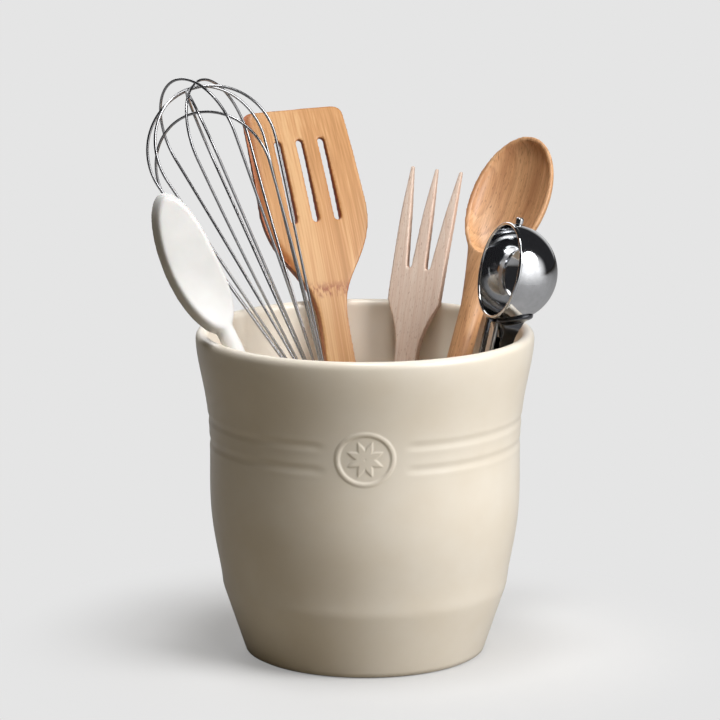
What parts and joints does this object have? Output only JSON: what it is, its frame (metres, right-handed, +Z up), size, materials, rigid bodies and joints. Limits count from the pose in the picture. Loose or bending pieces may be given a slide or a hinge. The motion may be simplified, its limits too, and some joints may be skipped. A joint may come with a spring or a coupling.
{
  "type": "utensil crock",
  "caption": "Round glazed stoneware crock with flared lip, holding kitchen spoons, a balloon whisk, a slotted turner, a fork and a disher.",
  "frame": {"origin": "centre of the crock's flat foot, on the surface it stands on", "axes": "+Z up along the crock's axis, -Y towards the medallion on the front, +X to the right"},
  "size_m": [0.2027, 0.2091, 0.2791],
  "materials": {
    "glazed_stoneware": "satin cream glaze",
    "white_melamine": "smooth moulded",
    "bamboo": "oiled, fine straight grain",
    "pale_beech": "bare, sanded",
    "oiled_beech": "oiled and worn",
    "steel_wire": "polished stainless wire",
    "satin_steel": "satin stainless",
    "chromed_steel": "polished chrome"
  },
  "bodies": {
    "crock": {"crock_body": "glazed_stoneware"},
    "white_spoon": {"white_spoon": "white_melamine"},
    "whisk": {"whisk_handle": "satin_steel", "whisk_plug": "satin_steel", "whisk_hanging_eye": "steel_wire", "whisk_wire_1": "steel_wire", "whisk_wire_2": "steel_wire", "whisk_wire_3": "steel_wire", "whisk_wire_4": "steel_wire", "whisk_wire_5": "steel_wire", "whisk_wire_6": "steel_wire"},
    "turner": {"slotted_turner": "bamboo"},
    "fork": {"serving_fork": "pale_beech"},
    "wooden_spoon": {"wooden_spoon": "oiled_beech"},
    "disher": {"disher_frame": "chromed_steel", "disher_bowl": "chromed_steel", "disher_lever_pin": "chromed_steel"},
    "disher_lever": {"disher_lever": "chromed_steel"},
    "disher_scraper": {"disher_scraper": "chromed_steel", "disher_pinion": "chromed_steel", "disher_nub": "chromed_steel"}
  },
  "joints": [
    {"name": "white_spoon_lift", "type": "slide", "parent": "crock", "child": "white_spoon", "axis": [-0.3651, -0.0655, 0.9287], "range_m": [0, 0.175]},
    {"name": "whisk_lift", "type": "slide", "parent": "crock", "child": "whisk", "axis": [-0.4024, 0.1392, 0.9048], "range_m": [0, 0.175]},
    {"name": "turner_lift", "type": "slide", "parent": "crock", "child": "turner", "axis": [-0.1574, 0.3394, 0.9274], "range_m": [0, 0.175]},
    {"name": "fork_lift", "type": "slide", "parent": "crock", "child": "fork", "axis": [0.126, 0.1666, 0.9779], "range_m": [0, 0.175]},
    {"name": "wooden_spoon_lift", "type": "slide", "parent": "crock", "child": "wooden_spoon", "axis": [0.2612, 0.3747, 0.8896], "range_m": [0, 0.175]},
    {"name": "disher_lift", "type": "slide", "parent": "crock", "child": "disher", "axis": [0.2109, 0.1073, 0.9716], "range_m": [0, 0.175]},
    {"name": "disher_squeeze", "type": "hinge", "parent": "disher", "child": "disher_lever", "pos_m": [0.03212, -0.0306, 0.01918], "axis": [-0.3556, 0.9343, -0.026], "range_deg": [0, 3.9], "stiffness_Nm_per_rad": 0.5, "springref_deg": -8.59},
    {"name": "disher_scraper_turn", "type": "hinge", "parent": "disher", "child": "disher_scraper", "pos_m": [0.06923, -0.01172, 0.19019], "axis": [0.2109, 0.1073, 0.9716], "range_deg": [0, 170.01]}
  ],
  "couplings": [
    {"joint": "disher_scraper_turn", "follows": "disher_squeeze", "ratio": 43.571}
  ]
}
